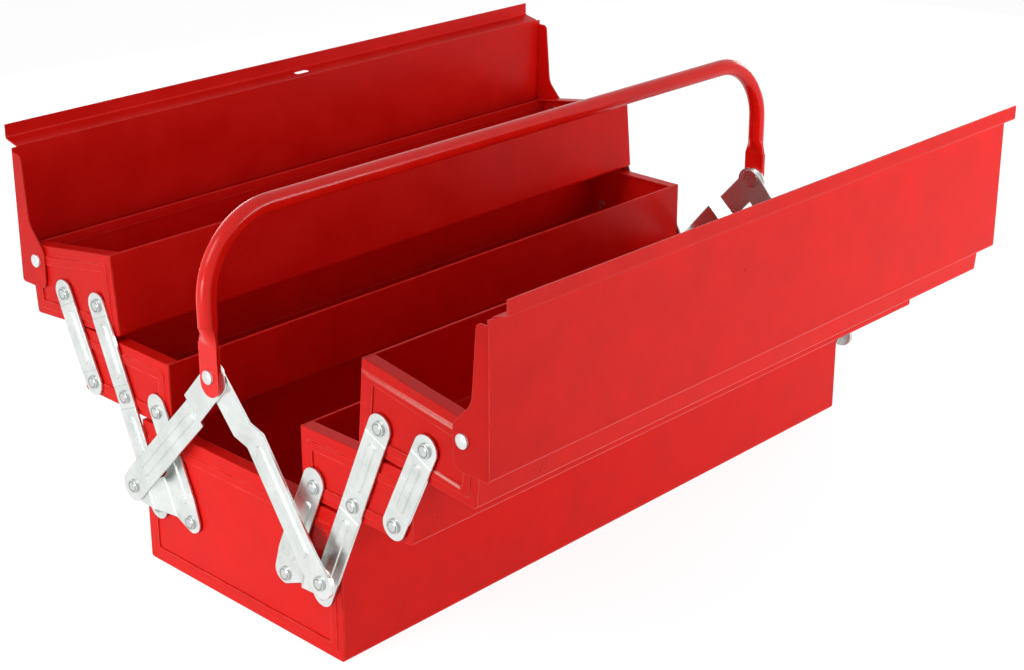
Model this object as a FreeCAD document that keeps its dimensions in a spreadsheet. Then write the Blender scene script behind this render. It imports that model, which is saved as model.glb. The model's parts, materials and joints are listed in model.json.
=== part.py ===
import FreeCAD, Part
import math
import os
import re
import Sketcher
from FreeCAD import Placement, Rotation, Vector

# A five-tray cantilever tool box of painted sheet steel, open, as an assembly.
# +X runs along the box, +Y is its left side, +Z is up, and the origin is the
# centre of the bottom box's underside. Lengths are millimetres, angles degrees.
# The left rear quarter is modelled, and mirrored pieces make the other quarters.

doc = FreeCAD.newDocument("cantilever_tool_box")
sheet = doc.addObject("Spreadsheet::Sheet", "Sizes")

# Driving sizes: name, value, what it is.
SIZES = (
    ("box_length", 530, "outside length of the bottom box and of every tray"),
    ("box_width", 200, "outside width of the bottom box"),
    ("box_height", 104, "height of the bottom box"),
    ("sheet_thick", 1.0, "sheet steel of box, trays and lids"),
    ("bend_radius", 2.5, "outside radius of a bend in that sheet"),
    ("edge_radius", 0.7, "rounding round an end panel's face"),
    ("hem_height", 7, "folded hem at the top of a long wall"),
    ("end_flange", 8, "depth of an end panel's top flange and welding tabs"),
    ("tab_gap", 0.1, "gap between a tab and the wall that it lies on"),
    ("tab_inset", 4, "distance of a tab's ends from the corners"),
    ("bead_inset", 5, "border bead's distance from a panel's sides and bottom"),
    ("box_bead_drop", 9.5, "border bead's distance below the box's top"),
    ("tray_bead_drop", 7, "border bead's distance below a tray's top"),
    ("bead_width", 5.5, "width of the border bead"),
    ("bead_height", 0.8, "how far the beads stand out"),
    ("bead_corner", 3, "outer corner radius of the border bead"),
    ("bead_slope", 35, "slope of a bead's sides from square"),
    ("seat_gap", 0.6, "flat ring left round a rivet collar in the bead"),
    ("centre_gap", 1.0, "closed: tray's inner wall to the middle plane"),
    ("tray_inset", 1.0, "closed: tray's outer wall inside the box's"),
    ("lower_tray_height", 47, "height of a lower tray"),
    ("upper_inner_height", 57.5, "height of an upper tray at its inner wall"),
    ("upper_outer_height", 50.5, "height of an upper tray at its outer wall"),
    ("tray_seat", 0.46, "closed: lower tray over the box's top"),
    ("upper_seat", 1.04, "closed: upper tray over the lower tray's top"),
    ("upper_tray_tilt", 5, "open: outward tilt of the upper tray"),
    ("open_lift", 2.5, "open: lower tray over the box's top"),
    ("crank_inset", 51.1, "crank pivot in from the box's side"),
    ("crank_height", 45.2, "crank pivot above the ground"),
    ("pivot_spacing", 35.5, "crank pivot to long arm pivot"),
    ("tray_pivot_in", 13, "crank pivot in from the lower tray's inner wall"),
    ("tray_pivot_up", 9.9, "pivots above the lower tray's bottom"),
    ("outer_pivot_inset", 13.2, "outer link pivot in from the lower tray's outer wall"),
    ("upper_pivot_up", 19.5, "long arm pivot above the upper tray's bottom"),
    ("outer_link_spread", 2.0, "outer link pivots further apart on the upper tray"),
    ("outer_link_rise", 2.0, "outer link pivot above the long arm pivot"),
    ("lid_pivot_inset", 11.1, "lid pivot in from the upper tray's outer wall"),
    ("lid_pivot_up", 40.5, "lid pivot above the upper tray's bottom"),
    ("handle_pivot_height", 170.6, "open: handle rivet above the ground"),
    ("arm_short", 0.25, "handle arm shorter than the open distance"),
    ("arm_lean", 0.95, "handle arm's extra lean, which evens out its error"),
    ("link_gap", 1.1, "links' stand-off from the end panels"),
    ("link_thick", 1.5, "plate of links, cranks and handle arms"),
    ("link_width", 18.5, "width of the links"),
    ("link_step", 0.4, "how far a link's middle is pressed up between pivots"),
    ("link_step_end", 8, "flat length between a pivot and that step"),
    ("link_bead_width", 6.5, "width of the long beads on the links"),
    ("link_bead_end", 13, "length between a pivot and a link's bead"),
    ("foot_reach", 36.5, "crank foot's pivot beside the bar"),
    ("foot_rise", 32.3, "crank foot's pivot along the bar"),
    ("foot_radius", 10.5, "rounded end of the crank foot"),
    ("foot_angle", 29.5, "direction of the crank foot from the bar's normal"),
    ("crank_back", 10.8, "crank's bar behind the line of its pivots"),
    ("crank_front", 7.6, "crank's bar in front of that line"),
    ("crank_top", 12.5, "crank's bar above its upper pivot"),
    ("hip_back", 12, "crank's widest place behind that line"),
    ("hip_rise", 15, "that place above the lower pivot"),
    ("hip_radius", 15, "rounding of that place"),
    ("base_back", 9.2, "crank's lower end behind its pivot"),
    ("base_drop", 7.6, "crank's lower end below its pivot"),
    ("base_radius", 8, "rounding of the crank's lower end"),
    ("ball_reach", 2, "start of the crank's sole beside its pivot"),
    ("ball_radius", 6, "rounding at that start"),
    ("sole_rise", 14.5, "crank's sole at the end of the foot's joggle"),
    ("instep_rise", 26.3, "where the foot's upper edge meets the bar"),
    ("heel_radius", 9, "hollows of sole and instep"),
    ("foot_offset", 9.5, "how far the foot is joggled out"),
    ("foot_bend", 14, "start of the foot's joggle from the bar's middle"),
    ("foot_bend_run", 9, "width of the foot's joggle"),
    ("arm_width", 21, "width of a handle arm"),
    ("arm_gap", 0.2, "gap between parts that slide past each other"),
    ("arm_dip", 6.5, "how far a handle arm leans in before its joggle"),
    ("arm_dip_start", 16, "length from the crank foot's rivet to that lean"),
    ("arm_joggle", 4.9, "how far the right handle arm is joggled out"),
    ("arm_bend_end", 38, "end of the arm's joggle from the handle rivet"),
    ("arm_bend_run", 10, "length of the arm's joggle"),
    ("arm_bead_width", 7, "width of the handle arms' beads"),
    ("arm_bead_end", 2, "bare length at each end of an arm's leaning part"),
    ("pivot_radius", 2.5, "rivet shank"),
    ("running_gap", 0.05, "running clearance in a pivot hole"),
    ("play", 0.05, "end play beside a link on its rivet"),
    ("link_slack", 1.1, "extra radius of the outer link's upper hole"),
    ("arm_slack", 2.6, "extra radius of the handle arms' upper hole"),
    ("collar_radius", 6, "spacer collar under a link"),
    ("head_radius", 4.7, "rivet head"),
    ("head_height", 1.2, "rivet head's height"),
    ("tail_radius", 4.2, "rivet tail inside a panel"),
    ("tail_height", 0.8, "rivet tail's height"),
    ("lid_head_height", 1.9, "lid rivet head's height"),
    ("washer_radius", 7.5, "washer at the handle rivet's tail"),
    ("washer_thick", 1.0, "that washer's thickness"),
    ("lid_standoff", 20.2, "lid's outer face from its pivot"),
    ("lid_drop", 20, "lid below its pivot when open"),
    ("lid_rise", 77.5, "lid's flat above its pivot when open"),
    ("lid_step_run", 3, "run of the step before the lip"),
    ("left_step_rise", 13, "height of the left lid's step"),
    ("right_step_rise", 10.5, "height of the right lid's step"),
    ("lip_length", 10.5, "lip past the step"),
    ("lip_inset", 4, "lip's ends in from the lid's ends"),
    ("stop_gap", 0.35, "open: eave to the tray's outer wall"),
    ("ear_width", 9.5, "ear strip's width at its top"),
    ("ear_waist", 13.7, "ear strip's width above the hinge plate"),
    ("ear_waist_rise", 24, "where the ear widens into the hinge plate"),
    ("ear_back", 8.5, "hinge plate behind the pivot"),
    ("ear_shoulder", 8, "hinge plate's shoulder above the pivot"),
    ("ear_top_gap", 3.5, "ear strip's top below the lid's step"),
    ("ear_round", 7, "hinge plate's corner radius"),
    ("ear_waist_round", 14, "radius where strip and plate meet"),
    ("ear_top_round", 4, "radius of the ear strip's top"),
    ("padlock_length", 14, "padlock slot along the lid"),
    ("padlock_width", 5, "padlock slot across"),
    ("handle_radius", 6.35, "handle tube"),
    ("handle_wall", 1.2, "wall of the handle tube"),
    ("handle_rise", 102.1, "handle rivet to the top run's middle"),
    ("handle_bend", 52, "bend radius of the tube's middle line"),
    ("handle_flat_thick", 3, "flattened end's thickness"),
    ("handle_flat_width", 18, "flattened end's width"),
    ("handle_flat_top", 21.5, "flattened end above the handle rivet"),
    ("handle_flat_blend", 12, "length from flat to round"),
    ("handle_flat_tail", 5, "end arc's centre below the handle rivet"),
    ("overrun", 5, "how far a cut runs past what it cuts"),
    ("round_share", 0.49, "end rounding as a share of a bar's width"),
    ("bead_corner_share", 0.5, "border bead's inner corner radius as a share of the outer"),
    ("flat_round_share", 0.33, "flattened end's rounding as a share of its thickness"),
    ("toe_round_share", 0.94, "crank toe's corner rounding as a share of its radius"),
    ("head_round_share", 0.8, "head rounding as a share of its height"),
)

# Worked-out places: name, formula, what it is.
PLACES = (
    ("half_length", "box_length / 2", "end panels' outer face"),
    ("half_width", "box_width / 2", "box's outer side"),
    ("inner_bend", "bend_radius - sheet_thick", "inside radius of a bend"),
    ("tray_width", "half_width - centre_gap - tray_inset", "width of every tray"),
    ("crank_y", "half_width - crank_inset", "crank pivot"),
    ("long_arm_y", "crank_y + pivot_spacing", "long arm pivot"),
    ("lower_closed_z", "box_height + tray_seat", "closed lower tray's bottom"),
    ("crank_run", "crank_y - centre_gap - tray_pivot_in", "closed crank, sideways"),
    ("crank_climb", "lower_closed_z + tray_pivot_up - crank_height", "closed crank, up"),
    ("crank_length", "sqrt(crank_run^2 + crank_climb^2)", "crank between pivots"),
    ("closed_angle", "atan2(crank_run; crank_climb) / 1 deg", "closed lean inward"),
    ("open_climb", "box_height + open_lift + tray_pivot_up - crank_height", "open crank, up"),
    ("open_angle", "acos(open_climb / crank_length) / 1 deg", "open: links' lean outward"),
    ("lower_y", "crank_y + crank_length * sin(open_angle) - tray_pivot_in", "open lower tray"),
    ("lower_z", "crank_height + crank_length * cos(open_angle) - tray_pivot_up",
     "open lower tray's bottom"),
    ("outer_pivot_in", "tray_width - outer_pivot_inset", "outer link pivot from inner wall"),
    ("outer_link_reach", "outer_pivot_in - tray_pivot_in - pivot_spacing + outer_link_spread",
     "outer link pivot outward of the long arm pivot"),
    ("upper_closed_z", "lower_closed_z + lower_tray_height + upper_seat",
     "closed upper tray's bottom"),
    ("long_climb", "upper_closed_z + upper_pivot_up - crank_height", "closed long arm, up"),
    ("long_arm_length", "long_climb / cos(closed_angle)", "long arm between end pivots"),
    ("upper_pivot_in", "long_arm_y - long_arm_length * sin(closed_angle) - centre_gap",
     "long arm pivot from the upper tray's inner wall"),
    ("long_top_y", "long_arm_y + long_arm_length * sin(open_angle)", "open upper tray pivot"),
    ("long_top_z", "crank_height + long_arm_length * cos(open_angle)", "open upper tray pivot"),
    ("upper_y", "long_top_y - upper_pivot_in * cos(upper_tray_tilt)"
     " - upper_pivot_up * sin(upper_tray_tilt)", "open upper tray's inner corner"),
    ("upper_z", "long_top_z + upper_pivot_in * sin(upper_tray_tilt)"
     " - upper_pivot_up * cos(upper_tray_tilt)", "open upper tray's inner corner"),
    ("outer_top_in", "upper_pivot_in + outer_link_reach", "outer link's pivot, from inner wall"),
    ("outer_top_up", "upper_pivot_up + outer_link_rise", "outer link's pivot, from bottom"),
    ("outer_foot_y", "lower_y + outer_pivot_in", "open outer link's lower pivot"),
    ("outer_foot_z", "lower_z + tray_pivot_up", "open outer link's lower pivot"),
    ("outer_run", "upper_y + outer_top_in * cos(upper_tray_tilt)"
     " + outer_top_up * sin(upper_tray_tilt) - outer_foot_y", "open outer link, sideways"),
    ("outer_climb", "upper_z - outer_top_in * sin(upper_tray_tilt)"
     " + outer_top_up * cos(upper_tray_tilt) - outer_foot_z", "open outer link, up"),
    ("outer_back", "outer_top_in - outer_pivot_in", "closed outer link, sideways"),
    ("outer_stand", "upper_closed_z + outer_top_up - lower_closed_z - tray_pivot_up",
     "closed outer link, up"),
    ("outer_link_length", "(sqrt(outer_run^2 + outer_climb^2)"
     " + sqrt(outer_back^2 + outer_stand^2)) / 2", "outer link between pivots"),
    ("outer_link_angle", "atan2(outer_run; outer_climb) / 1 deg", "open outer link's lean"),
    ("lid_pivot_in", "tray_width - lid_pivot_inset", "lid pivot from the inner wall"),
    ("lid_y", "upper_y + lid_pivot_in * cos(upper_tray_tilt)"
     " + lid_pivot_up * sin(upper_tray_tilt)", "open lid's pivot"),
    ("lid_z", "upper_z - lid_pivot_in * sin(upper_tray_tilt)"
     " + lid_pivot_up * cos(upper_tray_tilt)", "open lid's pivot"),
    ("foot_y", "crank_y + foot_reach * cos(open_angle) + foot_rise * sin(open_angle)",
     "open handle arm's lower pivot"),
    ("foot_z", "crank_height - foot_reach * sin(open_angle) + foot_rise * cos(open_angle)",
     "open handle arm's lower pivot"),
    ("arm_climb", "handle_pivot_height - foot_z", "open handle arm, up"),
    ("arm_length", "sqrt(foot_y^2 + arm_climb^2) - arm_short", "handle arm between pivots"),
    ("arm_angle", "atan2(foot_y; arm_climb) / 1 deg + arm_lean", "open handle arm's lean"),
    ("link_x", "half_length + link_gap", "links' inner face"),
    ("link_top_x", "link_x + link_thick", "links' outer face"),
    ("foot_top_x", "link_top_x + foot_offset", "crank foot's outer face"),
    ("arm_x", "foot_top_x + arm_gap", "handle arm's lower end"),
    ("arm_top_x", "arm_x + link_thick", "its outer face"),
    ("arm_bend_stop", "arm_length - arm_bend_end", "end of the arm's joggle"),
    ("arm_bend_start", "arm_bend_stop - arm_bend_run", "start of the arm's joggle"),
    ("arm_slope", "atan2(arm_dip; arm_bend_start - arm_dip_start) / 1 deg",
     "lean of a handle arm's middle"),
    ("left_joggle", "arm_joggle + link_thick + arm_gap", "left arm passes outside the right"),
    ("arm_upper_x", "arm_x - arm_dip + arm_joggle", "right handle arm's upper end"),
    ("handle_x", "arm_x - arm_dip + left_joggle + link_thick + arm_gap",
     "handle's flattened end"),
    ("handle_middle_x", "handle_x + handle_flat_thick / 2", "handle tube's middle line"),
    ("handle_top_z", "handle_pivot_height + handle_rise", "handle's top run"),
    ("handle_flat_z", "handle_pivot_height + handle_flat_top", "where the flat end stops"),
    ("handle_round_z", "handle_flat_z + handle_flat_blend", "where the round tube starts"),
    ("pivot_hole", "pivot_radius + running_gap", "hole that turns on a rivet"),
    ("lid_end_x", "link_x + sheet_thick", "lid ears' outer face"),
    ("eave_tip", "(lid_pivot_inset - (lid_drop - sheet_thick) * sin(upper_tray_tilt))"
     " / cos(upper_tray_tilt) + stop_gap", "eave's tip from the lid pivot"),
    ("bar_round", "(crank_back + crank_front) * round_share", "rounding of the crank's top"),
    ("link_round", "link_width * round_share", "rounding of a link's end"),
    ("arm_round", "arm_width * round_share", "rounding of a handle arm's end"),
    ("bead_round", "link_bead_width * round_share", "rounding of a link bead"),
    ("arm_bead_round", "arm_bead_width * round_share", "rounding of an arm bead"),
)

for row, (name, amount, note) in enumerate(SIZES + PLACES, start=1):
    formula = "=" + amount if isinstance(amount, str) else str(amount)
    sheet.set(f"A{row}", formula)
    sheet.setAlias(f"A{row}", name)
    sheet.set(f"B{row}", note)
doc.recompute()

NAMES = {name for name, amount, note in SIZES + PLACES}
WORK_CELL = "D1"


def bound(text):
    """Point each size named in a formula at its cell."""
    return re.sub("[a-z_]+", lambda word: "Sizes." * (word[0] in NAMES) + word[0], text)


def value(text):
    """Work a formula out in a spare cell of the sheet."""
    sheet.set(WORK_CELL, "=" + text)
    sheet.recompute()
    return float(sheet.get(WORK_CELL))


def bind(thing, **formulas):
    for name, text in formulas.items():
        thing.setExpression(name, bound(text))
    return thing


def place(thing, across="0", along="0", up="0", turn=None, axis=Vector(1, 0, 0)):
    """Bind a piece's place, turned by an angle about an axis through its origin."""
    if turn:
        thing.Placement = Placement(Vector(), Rotation(axis, value(turn)))
        thing.setExpression("Placement.Rotation.Angle", bound(turn))
    for name, text in (("x", along), ("y", across), ("z", up)):
        if text != "0":
            thing.setExpression(f"Placement.Base.{name}", bound(text))
    return thing


# Sketches

def new_body(label):
    body = doc.addObject("PartDesign::Body", label)
    body.Label = label
    return body


def draw(body, role="YZ_Plane", shift="0", rise="0", lean=None):
    """Add a sketch on a plane of the body, moved along its normal or leaning back."""
    sketch = body.newObject("Sketcher::SketchObject", "Sketch")
    plane = next(item for item in body.Origin.OriginFeatures if item.Role == role)
    sketch.AttachmentSupport = [(plane, "")]
    sketch.MapMode = "FlatFace"
    if lean:
        sketch.AttachmentOffset = Placement(Vector(), Rotation(Vector(-1, 0, 0), value(lean)))
        sketch.setExpression("AttachmentOffset.Rotation.Angle", bound(lean))
    for axis, text in (("y", rise), ("z", shift)):
        if text != "0":
            sketch.setExpression(f"AttachmentOffset.Base.{axis}", bound(text))
    return sketch


def pin(sketch, point, end, first, second):
    """Hold a point of a sketch at two bound distances from its origin."""
    for kind, text, line in (("DistanceX", first, -2), ("DistanceY", second, -1)):
        if text == "0":
            sketch.addConstraint(Sketcher.Constraint("PointOnObject", point, end, line))
            continue
        rule = Sketcher.Constraint(kind, -1, 1, point, end, value(text))
        number = sketch.addConstraint(rule)
        sketch.setExpression(f"Constraints[{number}]", bound(text))


def outline(sketch, corners):
    """Draw a closed outline of (first, second, radius) corners, anticlockwise."""
    spots = [Vector(value(first), value(second), 0) for first, second, radius in corners]
    arrive, leave, arcs = [], [], []
    for index, (first, second, radius) in enumerate(corners):
        spot = spots[index]
        back = (spots[index - 1] - spot).normalize()
        ahead = (spots[(index + 1) % len(spots)] - spot).normalize()
        half = back.getAngle(ahead) / 2
        size = value(radius) if radius else 0
        arrive.append(spot + back * (size / math.tan(half)))
        leave.append(spot + ahead * (size / math.tan(half)))
        middle = spot + (back + ahead).normalize() * (size / math.sin(half))
        outward = back.cross(ahead).z < 0
        arcs.append((middle, size, outward))
    lines = []
    for index, spot in enumerate(spots):
        ahead = (index + 1) % len(spots)
        lines.append(sketch.addGeometry(Part.LineSegment(leave[index], arrive[ahead]), False))
    for index, (first, second, radius) in enumerate(corners):
        before, after = lines[index - 1], lines[index]
        if not radius:
            sketch.addConstraint(Sketcher.Constraint("Coincident", before, 2, after, 1))
            pin(sketch, after, 1, first, second)
            continue
        middle, size, outward = arcs[index]
        start, stop = (arrive[index], leave[index]) if outward else (leave[index], arrive[index])
        angles = [math.atan2(end.y - middle.y, end.x - middle.x) for end in (start, stop)]
        circle = Part.Circle(middle, Vector(0, 0, 1), size)
        arc = sketch.addGeometry(Part.ArcOfCircle(circle, *angles), False)
        corner = sketch.addGeometry(Part.Point(spots[index]), True)
        ends = (1, 2) if outward else (2, 1)
        sketch.addConstraint(Sketcher.Constraint("Tangent", before, 2, arc, ends[0]))
        sketch.addConstraint(Sketcher.Constraint("Tangent", arc, ends[1], after, 1))
        sketch.addConstraint(Sketcher.Constraint("PointOnObject", corner, 1, before))
        sketch.addConstraint(Sketcher.Constraint("PointOnObject", corner, 1, after))
        pin(sketch, corner, 1, first, second)
        number = sketch.addConstraint(Sketcher.Constraint("Radius", arc, size))
        sketch.setExpression(f"Constraints[{number}]", bound(radius))
    return sketch


def circle(sketch, first, second, radius):
    middle = Vector(value(first), value(second), 0)
    ring = Part.Circle(middle, Vector(0, 0, 1), value(radius))
    edge = sketch.addGeometry(ring, False)
    pin(sketch, edge, 3, first, second)
    number = sketch.addConstraint(Sketcher.Constraint("Radius", edge, value(radius)))
    sketch.setExpression(f"Constraints[{number}]", bound(radius))
    return sketch


def oblong(first_low, first_high, second_low, second_high, radius=None):
    """Corners of an upright rectangle."""
    return ((first_low, second_low, radius), (first_high, second_low, radius),
            (first_high, second_high, radius), (first_low, second_high, radius))


def bar(width, start, stop, radius):
    """Corners of a bar round the upright axis, with rounded ends."""
    half = f"{width} / 2"
    return oblong("-" + half, half, start, stop, radius)


def pad(body, sketch, length, back=False, slope=None, midplane=False):
    feature = body.newObject("PartDesign::Pad", "Pad")
    feature.Profile = sketch
    feature.Reversed = back
    feature.Midplane = midplane
    bind(feature, Length=length)
    if slope:
        bind(feature, TaperAngle="-" + slope)
    return feature


def pocket(body, sketch, length, back=False):
    """Cut along the sketch's normal, or against it where back is set."""
    feature = body.newObject("PartDesign::Pocket", "Pocket")
    feature.Profile = sketch
    feature.Reversed = not back
    bind(feature, Length=length)
    return feature


def fillet(body, radius, picked):
    """Round the edges that a test picks."""
    doc.recompute()
    base = body.Tip
    names = [f"Edge{number}" for number, edge in enumerate(base.Shape.Edges, start=1)
             if picked(edge)]
    feature = body.newObject("PartDesign::Fillet", "Fillet")
    feature.Base = (base, names)
    bind(feature, Radius=radius)
    return feature


NODES = []


def node(thing, label):
    """Give a finished piece its name."""
    thing.Label = label
    NODES.append(thing)
    return thing


def mirror(source, normal, label):
    thing = doc.addObject("Part::Mirroring", label)
    thing.Source = source
    thing.Normal = normal
    return node(thing, label)


def gather(items, label):
    thing = doc.addObject("Part::Compound", label)
    thing.Label = label
    thing.Links = items
    return thing


ENDWAYS = Vector(1, 0, 0)
SIDEWAYS = Vector(0, 1, 0)


def four(piece, name):
    """Name a left rear piece and mirror it to the other three corners."""
    node(piece, f"left_{name}_rear")
    mirror(piece, ENDWAYS, f"left_{name}_front")
    other = mirror(piece, SIDEWAYS, f"right_{name}_rear")
    mirror(other, ENDWAYS, f"right_{name}_front")


def two(piece, name):
    """Name a left piece that spans both ends and mirror it to the right."""
    node(piece, f"left_{name}")
    mirror(piece, SIDEWAYS, f"right_{name}")


# Sheet-metal troughs and their end panels

def trough(label, low, high, low_height, high_height):
    """A folded bottom with two long walls, whose tops are hemmed inwards."""
    body = new_body(label)
    length = "box_length - 2 * sheet_thick"
    hem = "2 * sheet_thick"
    section = (
        (low, "0", "bend_radius"),
        (high, "0", "bend_radius"),
        (high, high_height, "edge_radius"),
        (f"{high} - {hem}", high_height, "edge_radius"),
        (f"{high} - {hem}", f"{high_height} - hem_height", None),
        (f"{high} - sheet_thick", f"{high_height} - hem_height", None),
        (f"{high} - sheet_thick", "sheet_thick", "inner_bend"),
        (f"{low} + sheet_thick", "sheet_thick", "inner_bend"),
        (f"{low} + sheet_thick", f"{low_height} - hem_height", None),
        (f"{low} + {hem}", f"{low_height} - hem_height", None),
        (f"{low} + {hem}", low_height, "edge_radius"),
        (low, low_height, "edge_radius"),
    )
    pad(body, outline(draw(body, shift=f"-({length}) / 2"), section), length)
    return body


def end_panel(label, low, high, low_height, high_height, bead_drop, pivots):
    """A pressed end: face, welding tabs, top flange, border bead and rivet holes."""
    body = new_body(label)
    face = ((low, "0", "bend_radius"), (high, "0", "bend_radius"),
            (high, high_height, None), (low, low_height, None))
    pad(body, outline(draw(body, shift="half_length - sheet_thick"), face), "sheet_thick")

    skin = "(sheet_thick + tab_gap)"
    tabs = draw(body, shift="half_length - sheet_thick")
    for inner, outer, height in ((f"{low} + {skin}", f"{low} + {skin} + sheet_thick", low_height),
                                 (f"{high} - {skin} - sheet_thick", f"{high} - {skin}",
                                  high_height)):
        top = f"{height} - hem_height - tab_inset"
        outline(tabs, oblong(inner, outer, "bend_radius + tab_inset", top))
    floor = oblong(f"{low} + bend_radius + tab_inset", f"{high} - bend_radius - tab_inset",
                   skin, f"{skin} + sheet_thick")
    outline(tabs, floor)
    clear = "2 * sheet_thick + tab_gap"
    fall = f"({low_height} - {high_height}) / ({high} - ({low})) * ({clear})"
    outline(tabs, (
        (f"{low} + {clear}", f"{low_height} - {fall} - sheet_thick", None),
        (f"{high} - ({clear})", f"{high_height} + {fall} - sheet_thick", None),
        (f"{high} - ({clear})", f"{high_height} + {fall}", None),
        (f"{low} + {clear}", f"{low_height} - {fall}", None),
    ))
    pad(body, tabs, "end_flange", back=True)

    middle = value("half_length - sheet_thick / 2")
    fillet(body, "edge_radius", lambda edge: edge.BoundBox.XMin > middle)

    ring = draw(body, shift="half_length")
    for inset, radius in (("0", "bead_corner"), ("bead_width", "bead_corner * bead_corner_share")):
        side = f"(bead_inset + {inset})"
        drop = f"({bead_drop} + {inset})"
        outline(ring, (
            (f"{low} + {side}", side, radius),
            (f"{high} - {side}", side, radius),
            (f"{high} - {side}", f"{high_height} - {drop}", radius),
            (f"{low} + {side}", f"{low_height} - {drop}", radius),
        ))
    pad(body, ring, "bead_height", slope="bead_slope")

    seats = draw(body, shift="half_length")
    holes = draw(body, shift="half_length - sheet_thick - overrun")
    for across, up in pivots:
        circle(seats, across, up, "collar_radius + seat_gap")
        circle(holes, across, up, "pivot_radius")
    pocket(body, seats, "overrun")
    pocket(body, holes, "sheet_thick + 2 * overrun")
    return body


# Rivets

def rivet(label, across, up, inside, over, head="head_height", tail=None, collar=None):
    """A rivet from the inner face that it holds to its head, with a tail and a collar."""
    body = new_body(label)
    start = f"{inside} - {tail[1]}" if tail else inside
    profile = [
        (start, "0", None),
        (f"{over} + {head}", "0", None),
        (f"{over} + {head}", "head_radius", f"{head} * head_round_share"),
        (over, "head_radius", None),
        (over, "pivot_radius", None),
    ]
    if collar:
        skin, under = collar
        profile += [(under, "pivot_radius", None), (under, "collar_radius", None),
                    (skin, "collar_radius", None), (skin, "pivot_radius", None)]
    if tail:
        profile += [(inside, "pivot_radius", None), (inside, tail[0], None),
                    (start, tail[0], None)]
    else:
        profile.append((start, "pivot_radius", None))
    turn(body, outline(draw(body, "XY_Plane"), profile))
    return place(body, across=across, up=up)


def turn(body, sketch):
    """Revolve a profile about the X axis."""
    feature = body.newObject("PartDesign::Revolution", "Revolution")
    feature.Profile = sketch
    feature.ReferenceAxis = (sketch, ["H_Axis"])
    feature.Angle = 360
    return feature


def at_both_ends(items, label):
    """A group of rear rivets and their mirror images at the front."""
    rear = gather(items, label + "_rear_group")
    front = doc.addObject("Part::Mirroring", label + "_front_group")
    front.Source = rear
    front.Normal = ENDWAYS
    return gather([rear, front], label)


def panel_rivet(label, across, up, over="link_top_x + play", head="head_height"):
    """A rivet that holds a link or a lid's ear to an end panel, clear of its bead."""
    return rivet(label, across, up, "half_length - sheet_thick", over, head=head,
                 tail=("tail_radius", "tail_height"), collar=("half_length", "link_x - play"))


# Links

def long_bead(body, level, start, stop, width, radius, **tilt):
    """A raised bead along a link."""
    pad(body, outline(draw(body, shift=level, **tilt), bar(width, start, stop, radius)),
        "bead_height", slope="bead_slope")


def press_middle(body, low, high):
    """Press up a link's full width between two pivots, and a bead along its middle."""
    step = bar("link_width", f"{low} + link_step_end", f"{high} - link_step_end", None)
    pad(body, outline(draw(body, shift="link_thick"), step), "link_step", slope="bead_slope")
    long_bead(body, "link_thick + link_step", f"{low} + link_bead_end",
              f"{high} - link_bead_end", "link_bead_width", "bead_round")


def drill(body, holes, depth, below="0"):
    """Cut round holes through a plate: across, up, radius."""
    sketch = draw(body, shift=f"-overrun - {below}")
    for across, up, radius in holes:
        circle(sketch, across, up, radius)
    pocket(body, sketch, f"{depth} + {below} + 2 * overrun")


def link(label, length, holes, spans):
    """A straight link from its lower pivot upwards."""
    body = new_body(label)
    pad(body, outline(draw(body), bar("link_width", "-link_width / 2",
                                      f"{length} + link_width / 2", "link_round")), "link_thick")
    for low, high in spans:
        press_middle(body, low, high)
    drill(body, holes, "link_thick")
    return body


def trim(body, corners, depth, reach, below="0"):
    """Cut away everything outside an outline."""
    sketch = draw(body, shift=f"-overrun - {below}")
    outline(sketch, oblong("-" + reach, reach, "-" + reach, reach))
    outline(sketch, corners)
    pocket(body, sketch, f"{depth} + {below} + 2 * overrun")


def make_crank():
    """A bar from box to lower tray, with a foot joggled out for the handle arm."""
    body = new_body("crank")
    reach = "(crank_length + foot_reach)"
    bend_stop = "foot_bend + foot_bend_run"
    section = (
        ("0", "-link_width", None),
        ("link_thick", "-link_width", None),
        ("link_thick", "foot_bend", "link_thick"),
        ("foot_offset + link_thick", bend_stop, "link_thick"),
        ("foot_offset + link_thick", reach, None),
        ("foot_offset", reach, None),
        ("foot_offset", bend_stop, "link_thick"),
        ("0", "foot_bend", "link_thick"),
    )
    sketch = outline(draw(body, "XY_Plane", "-link_width"), section)
    pad(body, sketch, "crank_length + 2 * link_width")
    toe_across = "foot_reach + foot_radius * (cos(foot_angle) {} sin(foot_angle))"
    toe_up = "foot_rise + foot_radius * (sin(foot_angle) {} cos(foot_angle))"
    top = "crank_length + crank_top"
    plan = (
        ("-base_back", "-base_drop", "base_radius"),
        ("ball_reach", "-base_drop", "ball_radius"),
        (bend_stop, "sole_rise", "heel_radius"),
        (toe_across.format("+"), toe_up.format("-"), "foot_radius * toe_round_share"),
        (toe_across.format("-"), toe_up.format("+"), "foot_radius * toe_round_share"),
        ("crank_front", "instep_rise", "heel_radius"),
        ("crank_front", top, "bar_round"),
        ("-crank_back", top, "bar_round"),
        ("-hip_back", "hip_rise", "hip_radius"),
    )
    trim(body, plan, "foot_offset + link_thick", "(2 * crank_length)")
    long_bead(body, "link_thick", "link_bead_end", "crank_length - link_bead_end",
              "link_bead_width", "bead_round")
    drill(body, (("0", "0", "pivot_hole"), ("0", "crank_length", "pivot_hole"),
                 ("foot_reach", "foot_rise", "pivot_radius")), "foot_offset + link_thick")
    place(body, "crank_y", "link_x", "crank_height", turn="open_angle", axis=-ENDWAYS)
    return body


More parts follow.
